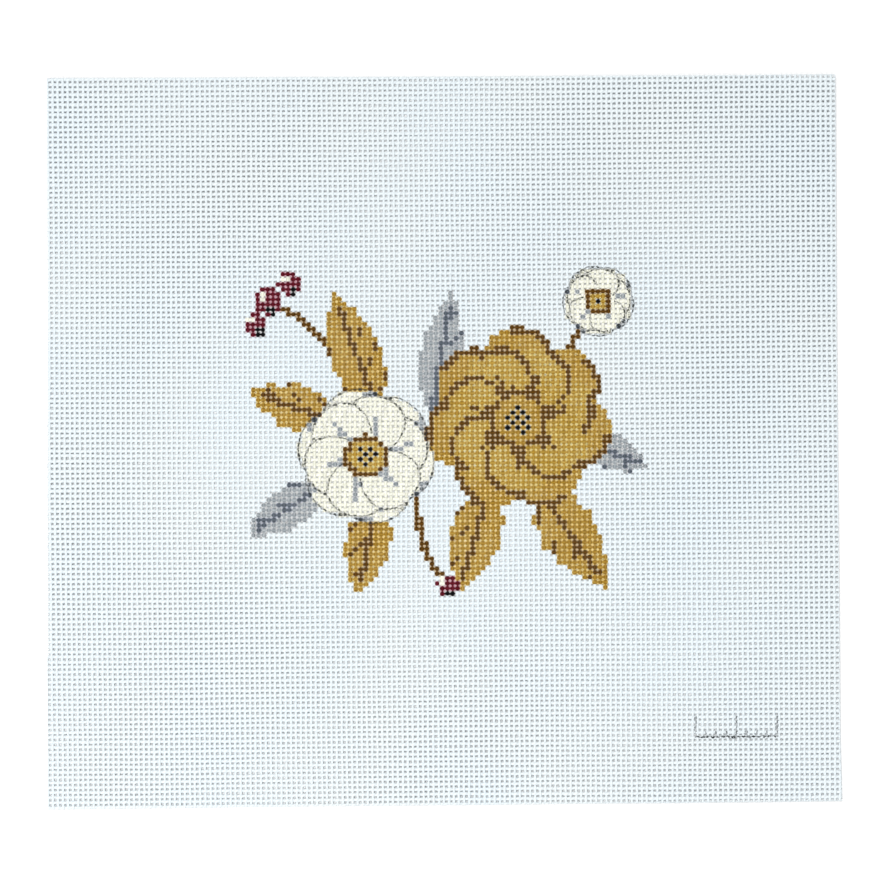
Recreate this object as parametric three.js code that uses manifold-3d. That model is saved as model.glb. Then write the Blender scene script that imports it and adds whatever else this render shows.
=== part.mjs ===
// A hand-cut piece of needlepoint canvas: stiff, sized cotton in an open plain weave, lying flat
// with raw, untaped edges. Millimetres, +X along the crosswise threads, +Y along the lengthwise
// threads towards the top of the design, +Z up from the table that the canvas lies on.
//
// Every thread is a flat bar of its own width, in its place between the cut edges. In height the
// crosswise threads (wefts) lie as a lower layer and the lengthwise threads (warps) as an upper
// one, where the woven cloth passes them over and under each other. The outermost pair of threads
// of the other direction ties each layer into one piece.

import * as THREE from "three";
import { mergeVertices } from "three/addons/utils/BufferGeometryUtils.js";
import Module from "manifold-3d";

// Driving dimensions: the weave
const INCH = 25.4;
const WARPS_PER_INCH = 13;
const WEFTS_PER_INCH = 13.2;
const WARP_WIDTH = 0.96;
const WEFT_WIDTH = 1.06;
const LAYER_THICKNESS = 0.45;
const LAYER_GAP = 0.3;

// Driving dimensions: the cut, about 12 by 11 inches
const CUT_WIDTH = 304.2;
const CUT_HEIGHT = 279.8;

const halfWidth = CUT_WIDTH / 2;
const halfHeight = CUT_HEIGHT / 2;

// How far the scissors strayed from a true rectangle at each corner: the top edge climbs to the
// right, and the right edge leans outwards towards the bottom.
const corners = {
  topLeft: new THREE.Vector2(-halfWidth - 0.7, halfHeight - 0.3),
  topRight: new THREE.Vector2(halfWidth - 2.0, halfHeight + 0.9),
  bottomRight: new THREE.Vector2(halfWidth + 0.8, -halfHeight + 2.0),
  bottomLeft: new THREE.Vector2(-halfWidth - 0.4, -halfHeight - 1.5),
};

// A place on the canvas, from its shares of the way across and of the way up. The threads fan out
// a little, so that the outermost ones follow the cut edges.
function placeOn(across, up) {
  const onBottom = corners.bottomLeft.clone().lerp(corners.bottomRight, across);
  const onTop = corners.topLeft.clone().lerp(corners.topRight, across);
  return onBottom.lerp(onTop, up);
}

// The open strips between evenly spread threads, each as its two ends in shares of the way.
function stripsBetween(count, threadWidth, cutLength) {
  const pitch = (cutLength - threadWidth) / (count - 1);
  return Array.from({ length: count - 1 }, (_, index) => [
    (index * pitch + threadWidth) / cutLength,
    ((index + 1) * pitch) / cutLength,
  ]);
}

const wasm = await Module();
wasm.setup();

// A flat slab over a rectangle of shares, as a solid.
function slab({ left, right, low, high }, bottom, thickness) {
  const outline = new THREE.Shape([
    placeOn(left, low),
    placeOn(right, low),
    placeOn(right, high),
    placeOn(left, high),
  ]);
  const geometry = new THREE.ExtrudeGeometry(outline, { depth: thickness, bevelEnabled: false });
  geometry.translate(0, 0, bottom);
  geometry.deleteAttribute("normal");
  geometry.deleteAttribute("uv");
  const merged = mergeVertices(geometry);
  return new wasm.Manifold(
    new wasm.Mesh({
      numProp: 3,
      vertProperties: new Float32Array(merged.attributes.position.array),
      triVerts: new Uint32Array(merged.index.array),
    }),
  );
}

// One layer of threads: a slab of the whole cut, less an open slot between each two threads.
function threadLayer(name, slots, bottom, material) {
  const whole = slab({ left: 0, right: 1, low: 0, high: 1 }, bottom, LAYER_THICKNESS);
  const open = slots.map((slot) =>
    slab(slot, bottom - LAYER_THICKNESS, 3 * LAYER_THICKNESS),
  );
  const threads = whole.subtract(wasm.Manifold.union(open)).getMesh();
  const geometry = new THREE.BufferGeometry();
  geometry.setAttribute("position", new THREE.BufferAttribute(threads.vertProperties, 3));
  geometry.setIndex(new THREE.BufferAttribute(threads.triVerts, 1));
  const flatFaces = geometry.toNonIndexed();
  flatFaces.computeVertexNormals();
  const mesh = new THREE.Mesh(flatFaces, material);
  mesh.name = name;
  return mesh;
}

// Lower layer: the crosswise threads on the table, tied by the outermost lengthwise ones.
function weftThreads() {
  const count = Math.round((WEFTS_PER_INCH * CUT_HEIGHT) / INCH);
  const tie = WARP_WIDTH / CUT_WIDTH;
  const slots = stripsBetween(count, WEFT_WIDTH, CUT_HEIGHT).map(([low, high]) => ({
    left: tie,
    right: 1 - tie,
    low,
    high,
  }));
  const sizedCotton = new THREE.MeshStandardMaterial({
    color: 0xe9eff3,
    roughness: 0.8,
    metalness: 0,
  });
  return threadLayer("weft_threads", slots, 0, sizedCotton);
}

// Upper layer: the lengthwise threads, tied by the outermost crosswise ones.
function warpThreads() {
  const count = Math.round((WARPS_PER_INCH * CUT_WIDTH) / INCH);
  const tie = WEFT_WIDTH / CUT_HEIGHT;
  const slots = stripsBetween(count, WARP_WIDTH, CUT_WIDTH).map(([left, right]) => ({
    left,
    right,
    low: tie,
    high: 1 - tie,
  }));
  const sizedCotton = new THREE.MeshStandardMaterial({
    color: 0xf2f6f8,
    roughness: 0.75,
    metalness: 0,
  });
  return threadLayer("warp_threads", slots, LAYER_THICKNESS + LAYER_GAP, sizedCotton);
}

// The canvas stands on the middle of its underside.
const canvas = new THREE.Group();
canvas.add(weftThreads(), warpThreads());
const box = new THREE.Box3().setFromObject(canvas);
const middle = box.getCenter(new THREE.Vector3());
canvas.position.set(-middle.x, -middle.y, -box.min.z);

export default canvas;
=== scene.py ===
"""A painted needlepoint canvas: real woven threads with a design painted stitch by stitch."""

import math

import bpy
import numpy as np
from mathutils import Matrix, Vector


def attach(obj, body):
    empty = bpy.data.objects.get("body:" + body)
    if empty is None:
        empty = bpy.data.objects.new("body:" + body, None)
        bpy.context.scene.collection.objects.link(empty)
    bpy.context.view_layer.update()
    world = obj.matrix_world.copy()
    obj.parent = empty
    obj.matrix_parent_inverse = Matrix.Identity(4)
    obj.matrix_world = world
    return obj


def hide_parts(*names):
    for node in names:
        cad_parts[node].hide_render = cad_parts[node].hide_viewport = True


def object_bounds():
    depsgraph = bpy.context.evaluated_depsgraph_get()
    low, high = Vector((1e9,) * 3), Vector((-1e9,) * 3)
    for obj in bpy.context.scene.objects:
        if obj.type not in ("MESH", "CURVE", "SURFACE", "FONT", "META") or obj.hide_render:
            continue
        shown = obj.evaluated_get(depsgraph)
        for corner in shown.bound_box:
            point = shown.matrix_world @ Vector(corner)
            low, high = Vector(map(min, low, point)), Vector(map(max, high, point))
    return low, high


bl_info = {
    "name": "Painted Needlepoint Canvas",
    "version": (1, 0, 0),
    "blender": (4, 5, 0),
    "location": "3D View > Sidebar > Canvas",
    "description": "Weaves a cut piece of canvas, paints a design on it and lays it in a studio",
    "category": "Object",
}

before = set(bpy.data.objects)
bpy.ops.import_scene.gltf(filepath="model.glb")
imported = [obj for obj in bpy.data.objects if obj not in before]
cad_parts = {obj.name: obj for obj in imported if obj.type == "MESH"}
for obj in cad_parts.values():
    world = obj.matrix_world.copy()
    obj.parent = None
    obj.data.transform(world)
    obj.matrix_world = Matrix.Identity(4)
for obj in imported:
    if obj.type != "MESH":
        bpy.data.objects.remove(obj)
CAD_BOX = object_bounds()

MM = 0.001
INCH = 25.4 * MM

# Rings on a thread for each crossing, as shares of the distance between crossings, and the height
# of the thread there as a share of its full rise. The first ring of each three stands at a hole.
RING_PLACES = np.array([-0.5, -0.2, 0.2])
RING_RISES = np.array([0.0, 1.0, 1.0])
SIDES = 6
PIECES_EACH_WAY = 5

# The cut: the shortest thread that stays in the cloth, how far past the cut the middle of a thread
# may stand, as a share of its width, and how much of what lies past the cut is left as fray
SHORTEST_THREAD = 3 * MM
KEPT_PAST_CUT = 0.45
FRAY = 0.2

# The lie of the cloth, in shares of its half width and half height: the spot that touches the
# table, how fast the cloth climbs from there to the sides and to the top and bottom, and how much
# of the waves is left in the stiff middle
TOUCHES_AT = (-0.26, -0.5)
SIDE_CLIMB = 0.85
TOP_CLIMB = 0.12
WAVES_IN_MIDDLE = 0.4

# How far threads waver, how far their rings stray along them, as a share of the distance between
# crossings, and how much less at a crossing
WAVER_PER_UNEVENNESS = 2.5
HOLE_STRAY = 0.09
CROSSING_STRAY_SHARE = 0.3

# A thread's width as a share of its usual one, and how many rings its bends and changes last
WIDTH_AT_HOLE = 0.92
WIDTH_AT_CROSSING = 1.05
WIDER_ON_TOP = 0.03
WIDTH_NOISE = 0.04
SLOW_BENDS, WIDTH_CHANGES, QUICK_BENDS = 24, 9, 3

# Names of the paints, in the order of the palette
BARE, TAN, LIGHT_TAN, BROWN, CREAM, GREY, SLATE, BLACK, RED = range(9)

# How far a stitch's tone strays, and how far each channel of the tans changes in broad patches
TONE_STRAY = 0.10
PATCH_CHANGE = np.array([-0.07, -0.10, -0.30])

# A distance from the nearest pencil line, in stitches, that draws nothing
FAR = 9.0


class WeaveSizes(bpy.types.PropertyGroup):
    """The threads and how they are woven."""

    warps_per_inch: bpy.props.FloatProperty(
        name="Warps per inch", description="Lengthwise threads to the inch", default=13.0, min=8, max=24
    )
    wefts_per_inch: bpy.props.FloatProperty(
        name="Wefts per inch", description="Crosswise threads to the inch", default=13.18, min=8, max=24
    )
    warp_width: bpy.props.FloatProperty(
        name="Warp width", description="Seen width of a lengthwise thread", default=1.14 * MM,
        unit="LENGTH", precision=5,
    )
    weft_width: bpy.props.FloatProperty(
        name="Weft width", description="Seen width of a crosswise thread", default=1.36 * MM,
        unit="LENGTH", precision=5,
    )
    thread_height: bpy.props.FloatProperty(
        name="Thread height", description="Thickness of one pressed thread", default=0.50 * MM,
        unit="LENGTH", precision=5,
    )
    rise: bpy.props.FloatProperty(
        name="Rise", description="How far a thread swings above and below the middle of the cloth",
        default=0.10 * MM, unit="LENGTH", precision=5,
    )
    paint_swell: bpy.props.FloatProperty(
        name="Paint swell", description="How much wider paint makes a thread",
        default=0.50 * MM, unit="LENGTH", precision=5,
    )
    unevenness: bpy.props.FloatProperty(
        name="Unevenness", description="How far threads stray from their true places",
        default=0.055 * MM, unit="LENGTH", precision=5,
    )


class CutSizes(bpy.types.PropertyGroup):
    """How the piece was cut from the cloth and how it lies."""

    grain_turn: bpy.props.FloatProperty(
        name="Grain turn", description="Angle between the weave and the cut", default=math.radians(0.42),
        subtype="ANGLE",
    )
    right_bow: bpy.props.FloatProperty(
        name="Right bow", description="How far the middle wefts bend upwards at the right edge",
        default=0.8 * MM, unit="LENGTH", precision=5,
    )
    wave: bpy.props.FloatProperty(
        name="Wave", description="Height of the long waves in which the cloth lies", default=0.19 * MM,
        unit="LENGTH", precision=5,
    )
    corner_lift: bpy.props.FloatProperty(
        name="Corner lift", description="How steeply the upper right corner leaves the table",
        default=0.6 * MM, unit="LENGTH", precision=5,
    )


def colour_setting(name, description, default):
    """A colour that a user may change."""
    return bpy.props.FloatVectorProperty(
        name=name, description=description, default=default, subtype="COLOR", size=3, min=0, max=1
    )


class PaintColours(bpy.types.PropertyGroup):
    """Linear colours of the bare cloth and of the paints."""

    cotton: colour_setting("Cotton", "Bare sized thread", (0.725, 0.795, 0.835))
    tan: colour_setting("Tan", "Outer petals of the golden flower, and leaves", (0.34, 0.198, 0.026))
    light_tan: colour_setting("Light tan", "Inner golden petals, and small eyes", (0.385, 0.235, 0.034))
    brown: colour_setting("Brown", "Stems, leaf veins and rims", (0.098, 0.041, 0.003))
    cream: colour_setting("Cream", "Pale petals", (0.78, 0.78, 0.67))
    grey: colour_setting("Grey", "Leaves, and light shade on pale petals", (0.285, 0.315, 0.335))
    slate: colour_setting("Slate", "Veins of grey leaves, and deep shade on petals", (0.09, 0.11, 0.135))
    black: colour_setting("Black", "Seeds and berry tips", (0.002, 0.002, 0.0025))
    red: colour_setting("Red", "Berries", (0.10, 0.003, 0.011))
    pencil: colour_setting("Pencil", "Drawn lines", (0.025, 0.028, 0.028))


class StudioSettings(bpy.types.PropertyGroup):
    """The table, the light and the camera."""

    lens: bpy.props.FloatProperty(
        name="Lens", description="Focal length in millimetres", default=85.0, min=20, max=200
    )
    view_width: bpy.props.FloatProperty(
        name="View width", description="Width of the picture on the table", default=340.8 * MM,
        unit="LENGTH",
    )
    sky: bpy.props.FloatProperty(
        name="Sky", description="Strength of the even light from all sides", default=0.72, min=0
    )
    lamp: bpy.props.FloatProperty(
        name="Lamp", description="Power of the soft lamp beyond the top edge", default=60.0, min=0,
        unit="POWER",
    )
    fill: bpy.props.FloatProperty(
        name="Fill", description="Power of the weak lamp below the lower edge", default=5.0,
        min=0, unit="POWER",
    )


def weave_sizes():
    return bpy.context.scene.canvas_weave


def cut_sizes():
    return bpy.context.scene.canvas_cut


def paint_colours():
    return bpy.context.scene.canvas_paints


# The cut outline


def cut_outline():
    """The corners of the cut, clockwise from the top left, as an array of plan points.

    Each lies on the sides of the frame's box or short of them by what the scissors strayed: the
    top edge climbs to the right, and the right edge swings outwards towards its lower end.
    """
    low, high = CAD_BOX
    return np.array([
        (low.x, high.y - 1.2 * MM),
        (high.x - 3.1 * MM, high.y),
        (high.x - 2.05 * MM, 0.9 * MM),
        (high.x - 0.95 * MM, low.y + 25 * MM),
        (high.x, low.y + 3.5 * MM),
        (low.x + 0.3 * MM, low.y),
    ])


def grain_axes():
    """Unit vectors along the wefts and along the warps."""
    turn = cut_sizes().grain_turn
    along_wefts = np.array([math.cos(turn), math.sin(turn)])
    along_warps = np.array([-math.sin(turn), math.cos(turn)])
    return along_wefts, along_warps


def spans_inside(places, across, along, margin):
    """Where straight threads enter and leave the cut.

    A thread stands at its place on the across axis and runs in the along direction. It meets an
    edge of the outline at the share t = (place - a) / (b - a) of that edge, where a and b are the
    edge's ends on the across axis. The lowest and highest meetings bound the thread. The outline
    is widened across by the margin, so a thread that the scissors ran along stays while its
    middle is no further past the cut than that.
    """
    outline = cut_outline()
    start_across, start_along = outline @ across, outline @ along
    start_across = start_across + margin * np.sign(start_across)
    end_across, end_along = np.roll(start_across, -1), np.roll(start_along, -1)
    share = (places[:, None] - start_across) / (end_across - start_across)
    meets = (share >= 0) & (share < 1)
    height = start_along + share * (end_along - start_along)
    lowest = np.where(meets, height, np.inf).min(axis=1)
    highest = np.where(meets, height, -np.inf).max(axis=1)
    return lowest, highest


def trim(x, y):
    """Plan places pressed back to the cut, so that little of what lay past it is left, as fray."""
    outline = cut_outline()
    sides = {"top": [0, 1], "right": [4, 3, 2, 1], "bottom": [5, 4], "left": [5, 0]}
    corners = {side: outline[order].T for side, order in sides.items()}
    left, right = (np.interp(y, *corners[side][::-1]) for side in ("left", "right"))
    bottom, top = (np.interp(x, *corners[side]) for side in ("bottom", "top"))
    x_inside, y_inside = np.clip(x, left, right), np.clip(y, bottom, top)
    return x_inside + FRAY * (x - x_inside), y_inside + FRAY * (y - y_inside)


def lie(x, y):
    """Height of the cloth's underside over the table.

    The cloth touches the table at the lower left of its middle and climbs with the square of the
    distance from there, faster to the sides than to the top and bottom. Long waves cross it, each
    the product of a sine and a cosine, and are weakest in the middle, which the paint stiffens. The
    upper right corner lifts by a square law of its own.
    """
    sizes = cut_sizes()
    across = x / CAD_BOX[1].x
    up = y / CAD_BOX[1].y
    wave = 1 + np.sin(5.6 * across - 1.8) * np.cos(5.2 * up - 2.8 * across + 1.5)
    bowl = SIDE_CLIMB * (across - TOUCHES_AT[0]) ** 2 + TOP_CLIMB * (up - TOUCHES_AT[1]) ** 2
    corner = np.clip((up + across) / 2 - 0.2, 0, None) ** 2
    from_middle = np.clip(1.8 * (across**2 + up**2), 0, 1)
    freedom = WAVES_IN_MIDDLE + (1 - WAVES_IN_MIDDLE) * from_middle
    return freedom * sizes.wave * (wave + bowl) + sizes.corner_lift * corner


def plan(u, v):
    """Plan place of a point u along the wefts and v along the warps.

    The weave is turned by the grain angle. The wefts of the middle rows bend upwards at the right
    by a square law, and both sets of threads waver by long sine waves.
    """
    along_wefts, along_warps = grain_axes()
    half_width, half_height = CAD_BOX[1].x, CAD_BOX[1].y
    bow = cut_sizes().right_bow * np.clip(u / half_width, 0, None) ** 2
    waver = WAVER_PER_UNEVENNESS * weave_sizes().unevenness
    u_here = u + waver * np.sin(v / half_height * 4.1 + u / half_width * 2.2 + 1.0)
    v_here = v + bow * (1 - (v / half_height) ** 2)
    v_here = v_here + waver * np.sin(u / half_width * 3.7 - v / half_height * 1.9)
    x = u_here * along_wefts[0] + v_here * along_warps[0]
    y = u_here * along_wefts[1] + v_here * along_warps[1]
    return x, y


# The weave


class ThreadSet:
    """One direction's threads and the places where the other direction crosses them."""

    def __init__(self, is_warp, seed):
        sizes = weave_sizes()
        warp_pitch, weft_pitch = INCH / sizes.warps_per_inch, INCH / sizes.wefts_per_inch
        low, high = CAD_BOX
        warp_shift, weft_shift = -0.35 * MM, 0.54 * MM
        warps = places_between(low.x, high.x, warp_pitch, warp_shift)
        wefts = places_between(low.y, high.y, weft_pitch, weft_shift)
        along_wefts, along_warps = grain_axes()
        self.is_warp = is_warp
        self.random = np.random.default_rng(seed)
        self.width = sizes.warp_width if is_warp else sizes.weft_width
        self.pitch = weft_pitch if is_warp else warp_pitch
        self.places = warps if is_warp else wefts
        self.crossings = wefts if is_warp else warps
        across, along = (along_wefts, along_warps) if is_warp else (along_warps, along_wefts)
        self.starts, self.ends = spans_inside(self.places, across, along, KEPT_PAST_CUT * self.width)
        self.numbers = np.flatnonzero(self.ends - self.starts > SHORTEST_THREAD)

    def rings(self, numbers):
        """Ring places along the threads, ring rises, and which rings lie on the cloth.

        Rings follow each other in threes for each crossing. A ring past a cut end is moved to the
        end, and only the first of those on each end stays.
        """
        shares = RING_PLACES[None, :] * self.pitch
        along = (self.crossings[:, None] + shares).ravel()[None, :].repeat(len(numbers), 0)
        at_hole = np.tile(RING_RISES == 0, len(self.crossings))
        stray = self.random.uniform(-HOLE_STRAY, HOLE_STRAY, along.shape) * self.pitch
        along = along + np.where(at_hole, stray, CROSSING_STRAY_SHARE * stray)
        starts, ends = self.starts[numbers, None], self.ends[numbers, None]
        inside = (along > starts) & (along < ends)
        after, before = np.zeros_like(inside), np.zeros_like(inside)
        after[:, 1:] = inside[:, :-1]
        before[:, :-1] = inside[:, 1:]
        kept = inside | after | before
        side = 1 if self.is_warp else -1
        odd = (numbers[:, None] + np.arange(len(self.crossings))[None, :]) % 2
        signs = side * (1 - 2 * odd)
        rises = (signs[:, :, None] * RING_RISES[None, None, :]).reshape(along.shape)
        return np.clip(along, starts, ends), rises, kept

    def surface(self, numbers, coat):
        """Vertex places of a group of threads, their places in the weave, and the kept rings.

        Each ring is an ellipse of six sides. Its middle runs along the thread and swings up and
        down between crossings. Its width grows at the crossings, where the threads are pressed
        flat, and under the paint's coat, which swells a thread twice as much at the holes.
        """
        sizes = weave_sizes()
        along, rises, kept = self.rings(numbers)
        shape = along.shape
        at_hole = rises == 0
        slow = smooth_noise(self.random, shape, SLOW_BENDS)
        quick = smooth_noise(self.random, shape, QUICK_BENDS)
        aside = self.places[numbers, None] + sizes.unevenness * (slow + 0.5 * quick)
        spread = np.where(at_hole, WIDTH_AT_HOLE, WIDTH_AT_CROSSING + WIDER_ON_TOP * rises)
        ring_coat = coat.repeat(len(RING_PLACES), axis=1)
        swell = sizes.paint_swell * ring_coat * np.where(at_hole, 1, 0.5)
        width = self.width * (spread + WIDTH_NOISE * smooth_noise(self.random, shape, WIDTH_CHANGES)) + swell
        angle = 2 * np.pi * np.arange(SIDES) / SIDES
        tallest = np.sin(angle).max()
        reach = np.cos(angle)[None, None, :] * width[:, :, None] / 2
        lift = np.sin(angle)[None, None, :] / tallest * sizes.thread_height / 2
        across = aside[:, :, None] + reach
        run = along[:, :, None] + 0 * reach
        u, v = (across, run) if self.is_warp else (run, across)
        x, y = trim(*plan(u, v))
        middle = sizes.thread_height / 2 + sizes.rise + lie(x, y)
        z = middle + sizes.rise * rises[:, :, None] + lift
        return np.stack([x, y, z], axis=-1), u, v, kept


def places_between(low, high, pitch, shift):
    """Evenly spaced thread places about the shifted middle, and one beyond each side."""
    each_side = int((high - low) / pitch / 2) + 1
    return (np.arange(2 * each_side) - each_side + 0.5) * pitch + shift


def smooth_noise(random, shape, length):
    """Random rows of about unit size that change over the given number of rings.

    Normal draws are averaged by a window of that length and scaled back to unit spread.
    """
    rough = random.standard_normal((shape[0], shape[1] + length - 1))
    total = np.cumsum(np.pad(rough, ((0, 0), (1, 0))), axis=1)
    return (total[:, length:] - total[:, :-length]) / math.sqrt(length)


# The design


class Drawing:
    """Paint and pencil at places given in stitches from the middle of the design.

    The paint is a palette number. The pencil is the signed distance from the nearest drawn line.
    """

    def __init__(self, x, y):
        self.x = x
        self.y = y
        self.paint = np.full(x.shape, BARE)
        self.pencil = np.full(x.shape, FAR)

    def turned(self, start, angle):
        """Coordinates along and aside of a ray from a start at an angle in degrees."""
        cos, sin = math.cos(math.radians(angle)), math.sin(math.radians(angle))
        x, y = self.x - start[0], self.y - start[1]
        return x * cos + y * sin, y * cos - x * sin

    def fill(self, area, paint):
        self.paint[area] = paint

    def outline(self, distance):
        """Draws a pencil line where the distance is zero, and hides older lines inside it."""
        nearer = (np.abs(distance) < np.abs(self.pencil)) | (distance < 0)
        self.pencil = np.where(nearer, distance, self.pencil)

    def hide(self, area):
        """Leaves no pencil under an area that has no outline."""
        self.pencil = np.where(area, FAR, self.pencil)

    def leaf(self, base, angle, length, width, fill, vein):
        """A pointed leaf: its half width is a sine arch along the length with a scalloped edge.

        The midrib and a few slanted side veins are darker.
        """
        along, aside = self.turned(base, angle)
        share = np.clip(along / length, 0, 1)
        arch = np.sin(np.pi * share**0.8) ** 0.8
        scallop = 1 - 0.14 * np.abs(np.sin(np.pi * length / 5 * share))
        inside = (np.abs(aside) < width / 2 * arch * scallop) & (along > 0) & (along < length)
        self.fill(inside, fill)
        slant = (along - 1.2 * np.abs(aside)) % 6
        self.fill(inside & (slant < 0.9) & (aside < 0) & (share < 0.85), vein)
        self.fill((np.abs(aside) < 0.62) & (along > -3) & (along < 0.88 * length), vein)
        self.hide(inside)

    def petal_shape(self, base, angle, reach, width):
        """Places along and aside of an egg-shaped petal, and the distance from its edge.

        The petal is an ellipse whose sides draw in towards the flower's middle. Its distance is
        the ellipse's radius less one, scaled by half the width.
        """
        along, aside = self.turned(base, angle)
        half = reach / 2
        drawn_in = 0.72 + 0.36 * np.clip(along / reach, 0, 1)
        radius = np.hypot((along - half) / half, aside / (width / 2 * drawn_in))
        return along, aside, (radius - 1) * width / 2

    def pale_petal(self, base, angle, reach, width, shaded):
        """A cream petal with a pencilled outline, grey at its base and along one side."""
        along, aside, distance = self.petal_shape(base, angle, reach, width)
        inside = distance < 0
        self.fill(inside, CREAM)
        wedge = np.abs(aside) < 0.16 * (0.85 * reach - along)
        self.fill(inside & wedge, GREY)
        if shaded:
            self.fill(inside & (aside < -0.16 * width) & (along > 0.2 * reach), GREY)
            self.fill(inside & (aside < -0.3 * width) & (along > 0.4 * reach), SLATE)
        self.outline(distance)

    def golden_petal(self, base, angle, reach, width, fill):
        """A tan petal, brown along one side."""
        along, aside, distance = self.petal_shape(base, angle, reach, width)
        inside = distance < 0
        self.fill(inside, fill)
        self.fill(inside & (distance > -1.1) & (aside < 0.1 * width), BROWN)
        self.hide(inside)

    def rays(self, middle, reach, petals, turn, paint):
        """Three short strokes up each petal, the middle one the longest."""
        for petal in range(petals):
            for lean, share in ((-11, 0.5), (0, 0.64), (11, 0.5)):
                along, aside = self.turned(middle, turn + 360 / petals * petal + lean)
                self.fill((np.abs(aside) < 0.5) & (along > 0) & (along < share * reach), paint)

    def pale_flower(self, middle, reach, petals, turn):
        """Two rings of cream petals round a golden eye with a dark rim and seeds."""
        width = 2.1 * reach * math.sin(math.pi / petals)
        step = 360 / petals
        for petal in range(petals):
            self.pale_petal(middle, turn + step * (petal + 0.5), reach, width, True)
        for petal in range(petals):
            self.pale_petal(middle, turn + step * petal, 0.9 * reach, 0.9 * width, False)
        self.eye(middle, 0.24 * reach, LIGHT_TAN)

    def golden_flower(self, middle, reach, petals, turn):
        """Two rings of tan petals with brown rays round a tan eye with a dark rim and seeds."""
        width = 2.0 * reach * math.sin(math.pi / petals)
        step = 360 / petals
        for petal in range(petals):
            self.golden_petal(middle, turn + step * (petal + 0.5), reach, width, TAN)
        for petal in range(petals):
            self.golden_petal(middle, turn + step * petal, 0.82 * reach, 0.9 * width, LIGHT_TAN)
        self.rays(middle, 0.82 * reach, petals, turn, BROWN)
        self.eye(middle, 0.25 * reach, TAN)

    def eye(self, middle, size, fill):
        """A round eye with a brown rim and black seeds on every other stitch."""
        x, y = self.x - middle[0], self.y - middle[1]
        radius = np.hypot(x, y)
        self.fill(radius < size + 1.2, BROWN)
        self.fill(radius < size + 0.1, fill)
        self.fill((radius < 0.6 * size) & (np.round(x + y) % 2 == 0), BLACK)
        self.hide(radius < size + 1.2)

    def berry(self, middle, size):
        """A round berry with a pale light and a dark tip."""
        x, y = self.x - middle[0], self.y - middle[1]
        self.fill(np.hypot(x, y) < size, RED)
        self.fill(np.hypot(x + 0.4 * size, y - 0.4 * size) < 0.35 * size, CREAM)
        self.fill(np.hypot(x - 0.3 * size, y + 0.7 * size) < 0.4 * size, BLACK)
        self.hide(np.hypot(x, y) < size)

    def stem(self, start, end, sag):
        """A brown curve between two points that hangs down by a parabola in the middle."""
        length = math.hypot(end[0] - start[0], end[1] - start[1])
        angle = math.degrees(math.atan2(end[1] - start[1], end[0] - start[0]))
        along, aside = self.turned(start, angle)
        share = along / length
        curve = -4 * sag * share * (1 - share)
        self.fill((np.abs(aside - curve) < 0.75) & (share > 0) & (share < 1), BROWN)


def draw_design(x, y):
    """The whole design: stems and leaves first, then berries, then the flowers."""
    drawing = Drawing(x, y)
    drawing.stem((-18, 4), (-34, 26), 4)
    drawing.stem((14, 8), (31, 31), 4)
    drawing.stem((-4, -8), (1, -31), 3)
    drawing.leaf((-21, 2), 160, 18, 10, TAN, BROWN)
    drawing.leaf((-13, 5), 110, 24, 11, TAN, BROWN)
    drawing.leaf((-2, 4), 80, 24, 9, GREY, SLATE)
    drawing.leaf((-24, -11), 214, 17, 9, GREY, SLATE)
    drawing.leaf((-13, -15), 258, 18, 10, TAN, BROWN)
    drawing.leaf((9, -12), 254, 21, 11, TAN, BROWN)
    drawing.leaf((19, -12), 304, 24, 12, TAN, BROWN)
    drawing.leaf((29, -3), 338, 12, 8, GREY, SLATE)
    for spot, size in (((-34, 26), 2.7), ((-36.5, 21.5), 2.3), ((-30, 29.5), 2.2), ((1, -31), 2.2)):
        drawing.berry(spot, size)
    drawing.pale_flower((31, 25.5), 7, 5, 10)
    drawing.golden_flower((15, 2), 18.5, 7, 12)
    drawing.pale_flower((-15, -5), 13.5, 6, 15)
    draw_gauge(drawing, (49.5, -61.5), 16)
    return drawing


def draw_gauge(drawing, start, length):
    """A pencilled gauge on the margin: a line with a tick at every other stitch.

    The ticks at both ends and in the middle are long.
    """
    along, aside = drawing.turned(start, 0)
    on_line = (along > -0.3) & (along < length + 0.3)
    drawing.pencil = np.where(on_line & (np.abs(aside) < 1.2), aside, drawing.pencil)
    short_tick, long_tick = 1.6, 4.2
    for spacing, height in ((length / 8, short_tick), (length / 2, long_tick)):
        tick = (along + spacing / 2) % spacing - spacing / 2
        near_tick = (np.abs(tick) < 0.6) & (along > -0.6) & (along < length + 0.6)
        on_tick = near_tick & (aside > 0.35) & (aside < height)
        drawing.pencil = np.where(on_tick, tick, drawing.pencil)


def design_place(u, v):
    """Stitches from the middle of the design, for distances along the wefts and the warps."""
    sizes = weave_sizes()
    middle_u, middle_v = -1.1 * MM, 4.6 * MM
    return (
        (u - middle_u) * sizes.warps_per_inch / INCH,
        (v - middle_v) * sizes.wefts_per_inch / INCH,
    )


def palette():
    """Paint colours by number, with their cover in the fourth column."""
    paints = paint_colours()
    colours = [
        paints.cotton, paints.tan, paints.light_tan, paints.brown, paints.cream,
        paints.grey, paints.slate, paints.black, paints.red,
    ]
    covers = np.ones((len(colours), 1))
    covers[BARE] = 0
    return np.hstack([np.array([list(colour) for colour in colours]), covers])


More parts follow.
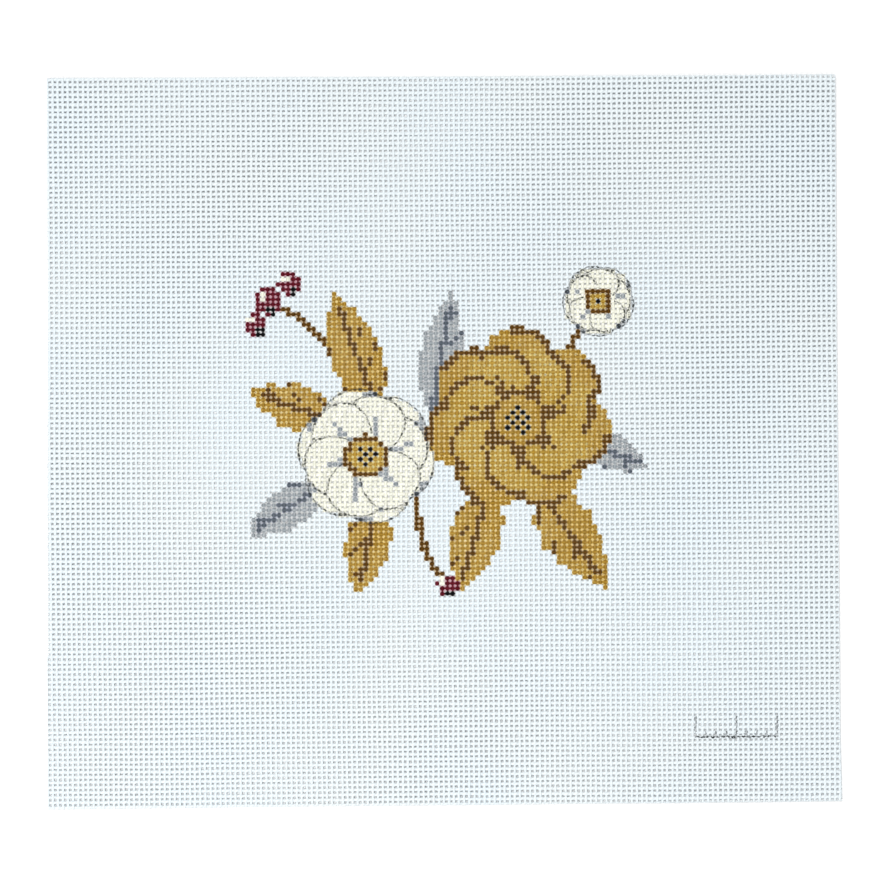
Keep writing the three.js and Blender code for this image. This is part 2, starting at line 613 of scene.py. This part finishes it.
def stitch_paint(threads, numbers):
    """The paint of each crossing of a group of threads, as colour and cover.

    A stitch's tone strays a little from its neighbours', and the tans grow warmer and darker in
    broad patches. Both depend on the crossing's place alone, so both threads of a stitch agree.
    """
    here, there = threads.places[numbers][:, None], threads.crossings[None, :]
    first, second = here + 0 * there, there + 0 * here
    x, y = design_place(first, second) if threads.is_warp else design_place(second, first)
    paint = draw_design(x, y).paint
    colours = palette()[paint]
    stitch = np.sin(12.9 * np.round(x) + 78.2 * np.round(y)) * np.cos(4.1 * np.round(x + y))
    patch = np.sin(0.31 * x + 1.7 * np.sin(0.13 * y)) * np.sin(0.27 * y - 0.9 * np.sin(0.19 * x))
    colours[..., :3] *= 1 + TONE_STRAY * stitch[..., None]
    patch = np.where((paint == TAN) | (paint == LIGHT_TAN), patch, 0)
    colours[..., :3] *= 1 + patch[..., None] * PATCH_CHANGE
    return np.clip(colours, 0, 1)


# Meshes


def grid_faces(kept):
    """Quads between neighbouring kept rings, quads that close the ends, and face facts.

    Vertex number = (thread * rings + ring) * sides + side. Side q joins side q + 1 of its own
    ring and of the next. An end ring of six sides takes two quads.
    """
    threads, rings = kept.shape
    joined = kept[:, :-1] & kept[:, 1:]
    thread, ring = np.nonzero(joined)
    base = (thread * rings + ring) * SIDES
    side = np.arange(SIDES)
    near = base[:, None] + side
    near_next = base[:, None] + (side + 1) % SIDES
    walls = np.stack([near, near + SIDES, near_next + SIDES, near_next], axis=-1)
    first = kept & ~np.pad(kept, ((0, 0), (1, 0)))[:, :-1]
    last = kept & ~np.pad(kept, ((0, 0), (0, 1)))[:, 1:]
    caps, cap_spots = [], []
    for ends, order in ((first, (0, 1, 2, 3)), (last, (3, 2, 1, 0))):
        end_thread, end_ring = np.nonzero(ends)
        end_base = (end_thread * rings + end_ring) * SIDES
        for start in (0, 3):
            corners = (np.array(order) + start) % SIDES
            caps.append(end_base[:, None] + corners)
            cap_spots.append(np.stack([end_thread, np.minimum(end_ring, rings - 2)], axis=-1))
    wall_spots = np.stack([thread, ring], axis=-1).repeat(SIDES, axis=0)
    return walls.reshape(-1, 4), wall_spots, np.concatenate(caps), np.concatenate(cap_spots)


def make_mesh(name, places, quads):
    """A smooth mesh object from arrays of vertex places and quads."""
    mesh = bpy.data.meshes.new(name)
    mesh.vertices.add(len(places))
    mesh.vertices.foreach_set("co", places.astype(np.float32).ravel())
    mesh.loops.add(quads.size)
    mesh.loops.foreach_set("vertex_index", quads.astype(np.int32).ravel())
    mesh.polygons.add(len(quads))
    mesh.polygons.foreach_set("loop_start", np.arange(0, quads.size, quads.shape[1], dtype=np.int32))
    mesh.update(calc_edges=True)
    mesh.validate()
    piece = bpy.data.objects.new(name, mesh)
    bpy.context.scene.collection.objects.link(piece)
    return piece


def set_corners(mesh, name, kind, values):
    """Stores a vector or a colour for each face corner."""
    layer = mesh.attributes.new(name, kind, "CORNER")
    field = {"FLOAT_VECTOR": "vector", "FLOAT_COLOR": "color"}[kind]
    layer.data.foreach_set(field, values.astype(np.float32).ravel())


def set_map(mesh, name, values):
    """Stores a UV map."""
    layer = mesh.uv_layers.new(name=name)
    layer.data.foreach_set("uv", values.astype(np.float32).ravel())


def weave_piece(name, threads, numbers):
    """One group of threads as a mesh of closed tubes, with its paint, marks and maps.

    The marks of a corner are its signed and its plain distance from the nearest pencil line, and
    whether its ring stands at a hole. A coat of dark paint is thicker than one of pale paint.
    """
    paint = stitch_paint(threads, numbers)
    coat = paint[..., 3] * (1 - 0.8 * paint[..., :3].mean(axis=-1))
    places, u, v, kept = threads.surface(numbers, coat)
    rings = kept.shape[1]
    walls, wall_spots, caps, cap_spots = grid_faces(kept)
    quads = np.concatenate([walls, caps])
    spots = np.concatenate([wall_spots, cap_spots])
    used, renumbered = np.unique(quads, return_inverse=True)
    piece = make_mesh(name, places.reshape(-1, 3)[used], renumbered.reshape(quads.shape))
    mesh = piece.data

    crossing = spots[:, 1] // len(RING_PLACES)
    face_paint = paint[spots[:, 0], crossing]
    set_corners(mesh, "paint", "FLOAT_COLOR", face_paint[:, None, :].repeat(4, axis=1))

    x, y = design_place(u, v)
    pencil = draw_design(x.ravel(), y.ravel()).pencil[quads]
    at_hole = (quads // SIDES % len(RING_PLACES) == 0).astype(float)
    set_corners(mesh, "marks", "FLOAT_VECTOR", np.stack([pencil, np.abs(pencil), at_hole], axis=-1))

    # Around and along the thread at each corner; a wall's last side ends at one, not at zero. Each
    # thread's map starts a little further on, so that neighbours do not twist in step.
    side = (quads % SIDES).astype(float)
    on_wall = np.arange(len(quads)) < len(walls)
    closing = on_wall & (side.max(axis=1) == SIDES - 1) & (side.min(axis=1) == 0)
    side[closing] = np.where(side[closing] == 0, SIDES, side[closing])
    around = side / SIDES
    run = (v if threads.is_warp else u).reshape(-1)[quads]
    thread = spots[:, :1]
    step_on = 0.37
    set_map(mesh, "thread", np.stack([around, run / threads.pitch + step_on * thread], axis=-1))

    # The bake map unrolls each thread into a strip of its own, with a gutter on both sides.
    gutter = 0.06
    strip = (thread + gutter + (1 - 2 * gutter) * around) / len(numbers)
    span = threads.crossings[-1] - threads.crossings[0] + 2 * threads.pitch
    height = (run - threads.crossings[0] + threads.pitch) / span
    set_map(mesh, "OFBake", np.stack([strip, height], axis=-1))
    return piece


# Shader graph helpers


class Value:
    """A node socket that takes part in Python sums, each of which adds a Math node."""

    def __init__(self, finish, socket):
        self.finish = finish
        self.socket = socket

    def _math(self, operation, *values):
        return self.finish.node("ShaderNodeMath", {"operation": operation}, *values).out(0)

    def __add__(self, other):
        return self._math("ADD", self, other)

    def __sub__(self, other):
        return self._math("SUBTRACT", self, other)

    def __rsub__(self, other):
        return self._math("SUBTRACT", other, self)

    def __mul__(self, other):
        return self._math("MULTIPLY", self, other)

    __radd__ = __add__
    __rmul__ = __mul__

    def sine(self):
        return self._math("SINE", self)

    def size(self):
        return self._math("ABSOLUTE", self)

    def below(self, edge, softness):
        """One under the edge, falling to zero over the softness on both sides of it."""
        inputs = {0: self, 1: edge - softness, 2: edge + softness, 3: 1.0, 4: 0.0}
        return self.finish.node("ShaderNodeMapRange", {"clamp": True}, **key_names(inputs)).out(0)


def key_names(inputs):
    """Socket numbers as keyword names."""
    return {f"at_{number}": value for number, value in inputs.items()}


class Node:
    """A node whose outputs come out as values."""

    def __init__(self, finish, node):
        self.finish = finish
        self.node = node

    def out(self, key):
        return Value(self.finish, self.node.outputs[key])


class Finish:
    """A material under construction."""

    def __init__(self, name):
        self.material = bpy.data.materials.new(name)
        self.material.use_nodes = True
        self.tree = self.material.node_tree
        self.tree.nodes.clear()

    def node(self, kind, settings=None, *values, **inputs):
        """Any node: its settings first, then its sockets by order or by name.

        A name is the socket's own with low lines for spaces, or at_ and the socket's number.
        """
        node = self.tree.nodes.new(kind)
        for key, value in (settings or {}).items():
            setattr(node, key, value)
        sockets = dict(enumerate(values))
        for key, value in inputs.items():
            sockets[int(key[3:]) if key.startswith("at_") else key.replace("_", " ")] = value
        for key, value in sockets.items():
            if isinstance(value, Value):
                self.tree.links.new(value.socket, node.inputs[key])
            else:
                node.inputs[key].default_value = value
        return Node(self, node)

    def mix(self, factor, first, second):
        """A colour mix."""
        inputs = {0: factor, 6: first, 7: second}
        node = self.node("ShaderNodeMix", {"data_type": "RGBA"}, **key_names(inputs))
        return node.out(2)

    def vector(self, operation, *values, **inputs):
        """A vector or colour sum."""
        return self.node("ShaderNodeVectorMath", {"operation": operation}, *values, **inputs).out(0)

    def dot(self, first, second):
        """The dot product of two vectors or colours."""
        return self.node("ShaderNodeVectorMath", {"operation": "DOT_PRODUCT"}, first, second).out(1)

    def gamma(self, colour, power):
        """A colour raised to a power."""
        return self.node("ShaderNodeGamma", None, colour, power).out(0)

    def noise(self, place, scale, detail=2.0, roughness=0.5):
        """Noise from zero to one."""
        return self.node(
            "ShaderNodeTexNoise", None, Vector=place, Scale=scale, Detail=detail, Roughness=roughness
        ).out("Fac")

    def surface(self, **inputs):
        """The closing shader."""
        shader = self.node("ShaderNodeBsdfPrincipled", None, **inputs)
        self.node("ShaderNodeOutputMaterial", None, Surface=shader.out("BSDF"))
        return self.material


def rgba(colour):
    """A linear colour with full cover, as colour sockets take it."""
    return (*colour, 1.0)


def paint_with_painted_light(finish, own, rise, at_hole, blotches):
    """Paint on a thread, from its own colour, with painted shade and painted highlights.

    The rise is the sine of the angle around the thread. On top the paint has its own colour. On
    the flanks where threads cross it is darker, as pooled paint and as painted shade. On the
    flanks at the holes it is lighter, as a thin glaze and as a painted highlight of the light
    through the holes, where dark paints lighten more; pale paints also thin at random in small
    spots. The lighter colour has the tint of the paint, and is nearly white under the darkest paints.
    """
    palest = (0.97, 0.97, 0.97)
    brightness = finish.dot(own, (0.33, 0.33, 0.33))
    brightened = finish.vector("MULTIPLY", finish.gamma(own, 0.40), (1.58, 1.53, 1.60))
    tinted = finish.vector("MINIMUM", brightened, palest)
    # Pale thin paint and a painted highlight of the light through the holes, nearly white under the darkest
    # paints
    glaze_and_highlight = finish.mix(0.75 * brightness.below(0.035, 0.035), tinted, rgba(palest))
    highlight_at_hole = (1 - at_hole.below(0.46, 0.16)) * rise.below(0.82, 0.1)
    glaze_and_highlight_share = highlight_at_hole * (1.15 - brightness) + 0.65 * brightness * blotches.below(0.42, 0.12)
    # Darker paint on the flanks where threads cross: pooled paint and painted shade
    pool_and_shade_share = at_hole.below(0.34, 0.2) * rise.below(0.82, 0.14)
    return finish.mix(pool_and_shade_share, finish.mix(glaze_and_highlight_share, own, glaze_and_highlight), finish.gamma(own, 1.6))


def bare_cotton(finish, place):
    """Sized cotton, a little warmer in broad patches of noise."""
    cotton = paint_colours().cotton
    warmer = tuple(0.985 * channel + shift for channel, shift in zip(cotton, (0.03, 0.012, -0.01)))
    patches = finish.noise(place, 14.0, 3.0, 0.6)
    return finish.mix(patches.below(0.5, 0.16), rgba(cotton), rgba(warmer))


def pencil_stroke(marks, rise, blotches, fibres):
    """The share of pencil: thin wavering lines that mark mostly the tops of threads at crossings.

    The signed distance crosses zero on a line, and also where it leaps from one line's side to
    another's. The plain distance is small on a line alone.
    """
    signed, plain, at_hole = marks.out("X"), marks.out("Y"), marks.out("Z")
    wobble = 0.9 * (blotches - 0.5)
    on_line = (signed + wobble).size().below(0.13 + 0.08 * fibres, 0.05) * plain.below(0.5, 0.1)
    on_top = 1 - rise.below(0.45, 0.1)
    touched = on_top * (0.4 + 0.6 * at_hole.below(0.6, 0.3))
    return on_line * (0.3 + 1.4 * blotches) * touched


def painted_cotton():
    """Sized cotton thread: twisted plies with painted shade in their grooves, faint fibres, paint that fades
    underneath, painted shade where threads cross, painted highlights at the holes, and pencil.
    """
    finish = Finish("painted_cotton")
    place = finish.node("ShaderNodeTexCoord").out("Object")
    thread_map = finish.node("ShaderNodeUVMap", {"uv_map": "thread"}).out("UV")
    thread = finish.node("ShaderNodeSeparateXYZ", None, thread_map)
    around, along = thread.out("X"), thread.out("Y")
    stored_marks = finish.node("ShaderNodeAttribute", {"attribute_name": "marks"}).out("Vector")
    marks = finish.node("ShaderNodeSeparateXYZ", None, stored_marks)
    paint = finish.node("ShaderNodeAttribute", {"attribute_name": "paint"})

    plies, turns_per_crossing = 3, 1.1
    twist = (2 * math.pi * (plies * around + turns_per_crossing * along)).sine()
    rise = (2 * math.pi * around).sine()
    fibres = finish.noise(place, 5200.0, 3.0, 0.6)
    blotches = finish.noise(place, 900.0)

    # Paint with painted shade where threads cross and painted highlights at the holes
    painted = paint_with_painted_light(finish, paint.out("Color"), rise, marks.out("Z"), blotches)
    cover_share = paint.out("Alpha") * (1 - 0.4 * rise.below(-0.5, 0.3))
    covered = finish.mix(cover_share, bare_cotton(finish, place), painted)
    # The ply twist darkens the grooves between plies as painted shade; the fibres vary the tone at random
    toned_and_groove_shaded = finish.vector("SCALE", covered, Scale=0.88 + 0.07 * twist + 0.12 * fibres)
    pencil_share = pencil_stroke(marks, rise, blotches, fibres)
    colour = finish.mix(pencil_share, toned_and_groove_shaded, rgba(paint_colours().pencil))

    roughness = 0.78 - 0.16 * cover_share + 0.12 * (fibres - 0.5)
    height = 0.5 * twist + 0.5 * fibres
    bump = finish.node("ShaderNodeBump", None, Strength=0.6, Distance=0.1 * MM, Height=height)
    return finish.surface(
        Base_Color=colour, Roughness=roughness, Normal=bump.out("Normal"), Specular_IOR_Level=0.04
    )


def pale_table():
    """A matt white table top with a very faint mottle."""
    finish = Finish("pale_table")
    place = finish.node("ShaderNodeTexCoord").out("Object")
    mottle = finish.noise(place, 3.0)
    colour = finish.mix(mottle, (0.90, 0.90, 0.90, 1.0), (0.92, 0.92, 0.92, 1.0))
    return finish.surface(Base_Color=colour, Roughness=0.9)


def shared_material(name, make):
    """The named material, made when it is first asked for."""
    return bpy.data.materials.get(name) or make()


# Operators


def weave(is_warp, node, seed):
    """Makes a direction's threads as a few pieces side by side, hangs them on the root body and hides the
    part of the frame they stand for.
    """
    threads = ThreadSet(is_warp, seed)
    for index, numbers in enumerate(np.array_split(threads.numbers, PIECES_EACH_WAY)):
        piece = weave_piece(f"{node}_{index + 1}", threads, numbers)
        piece.data.materials.append(shared_material("painted_cotton", painted_cotton))
        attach(piece, "root")
        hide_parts(node)
        declare_cloth(piece)


def declare_cloth(piece):
    """Finds the lowest and highest corner of a group of threads, and does nothing more with them."""
    low, high = piece_box(piece)


def piece_box(piece):
    """Lowest and highest corner of a piece's mesh."""
    places = np.empty(len(piece.data.vertices) * 3, dtype=np.float32)
    piece.data.vertices.foreach_get("co", places)
    places = places.reshape(-1, 3)
    return places.min(axis=0), places.max(axis=0)


class CANVAS_OT_weave_wefts(bpy.types.Operator):
    """Weave the crosswise threads"""

    bl_idname = "canvas.weave_wefts"
    bl_label = "Crosswise Threads"

    def execute(self, context):
        weave(is_warp=False, node="weft_threads", seed=11)
        return {"FINISHED"}


class CANVAS_OT_weave_warps(bpy.types.Operator):
    """Weave the lengthwise threads"""

    bl_idname = "canvas.weave_warps"
    bl_label = "Lengthwise Threads"

    def execute(self, context):
        weave(is_warp=True, node="warp_threads", seed=23)
        return {"FINISHED"}


class CANVAS_OT_set_studio(bpy.types.Operator):
    """Lay the table, hang the lights and place the camera"""

    bl_idname = "canvas.set_studio"
    bl_label = "Studio"

    def execute(self, context):
        settings = context.scene.canvas_studio
        make_table()
        make_lights(settings)
        make_camera(settings)
        context.scene.view_settings.view_transform = "Standard"
        return {"FINISHED"}


def make_table():
    """A large flat table top, just under the cloth."""
    reach = 6.0
    corners = np.array([(-reach, -reach, 0), (reach, -reach, 0), (reach, reach, 0), (-reach, reach, 0)])
    table = make_mesh("table", corners, np.array([[0, 1, 2, 3]]))
    table.data.materials.append(shared_material("pale_table", pale_table))


def make_lights(settings):
    """An even sky, a soft lamp beyond the top edge and a weak near one below the lower edge."""
    world = bpy.data.worlds.new("even_sky")
    world.use_nodes = True
    background = world.node_tree.nodes["Background"]
    background.inputs["Color"].default_value = (1.0, 1.0, 1.0, 1.0)
    background.inputs["Strength"].default_value = settings.sky
    bpy.context.scene.world = world
    hang_lamp("soft_lamp", power=settings.lamp, size=1.1, place=Vector((-0.8, 1.75, 3.2)))
    hang_lamp("fill_lamp", power=settings.fill, size=0.5, place=Vector((-0.35, -0.75, 0.75)))


def hang_lamp(name, power, size, place):
    """A round lamp that points at the middle of the cloth."""
    lamp = bpy.data.lights.new(name, "AREA")
    lamp.shape = "DISK"
    lamp.size = size
    lamp.energy = power
    holder = bpy.data.objects.new(name, lamp)
    holder.location = place
    holder.rotation_euler = (-place).to_track_quat("-Z", "Y").to_euler()
    bpy.context.scene.collection.objects.link(holder)


def make_camera(settings):
    """A long lens straight above, at the distance that gives the view's width on the table."""
    data = bpy.data.cameras.new("camera")
    data.lens = settings.lens
    data.sensor_width = 36.0
    camera = bpy.data.objects.new("camera", data)
    aim = Vector((-0.73 * MM, -0.27 * MM, 0))
    distance = settings.view_width * data.lens / data.sensor_width
    camera.location = aim + Vector((0, 0, distance))
    bpy.context.scene.collection.objects.link(camera)
    bpy.context.scene.camera = camera


class CANVAS_PT_pieces(bpy.types.Panel):
    """Sizes, colours and pieces of the canvas"""

    bl_label = "Needlepoint Canvas"
    bl_space_type = "VIEW_3D"
    bl_region_type = "UI"
    bl_category = "Canvas"

    def draw(self, context):
        layout = self.layout
        scene = context.scene
        for group in (scene.canvas_weave, scene.canvas_cut, scene.canvas_paints, scene.canvas_studio):
            box = layout.box()
            for key in group.bl_rna.properties.keys():
                if key not in {"rna_type", "name"}:
                    box.prop(group, key)
        for operator in OPERATORS:
            layout.operator(operator.bl_idname)


SETTINGS = {
    "canvas_weave": WeaveSizes,
    "canvas_cut": CutSizes,
    "canvas_paints": PaintColours,
    "canvas_studio": StudioSettings,
}
OPERATORS = (CANVAS_OT_weave_wefts, CANVAS_OT_weave_warps, CANVAS_OT_set_studio)


def register():
    for cls in (*SETTINGS.values(), *OPERATORS, CANVAS_PT_pieces):
        bpy.utils.register_class(cls)
    for key, group in SETTINGS.items():
        setattr(bpy.types.Scene, key, bpy.props.PointerProperty(type=group))


def unregister():
    for key in SETTINGS:
        delattr(bpy.types.Scene, key)
    for cls in (CANVAS_PT_pieces, *reversed(OPERATORS), *reversed(SETTINGS.values())):
        bpy.utils.unregister_class(cls)


def main():
    register()
    bpy.ops.canvas.weave_wefts()
    bpy.ops.canvas.weave_warps()
    bpy.ops.canvas.set_studio()


if __name__ == "__main__":
    main()
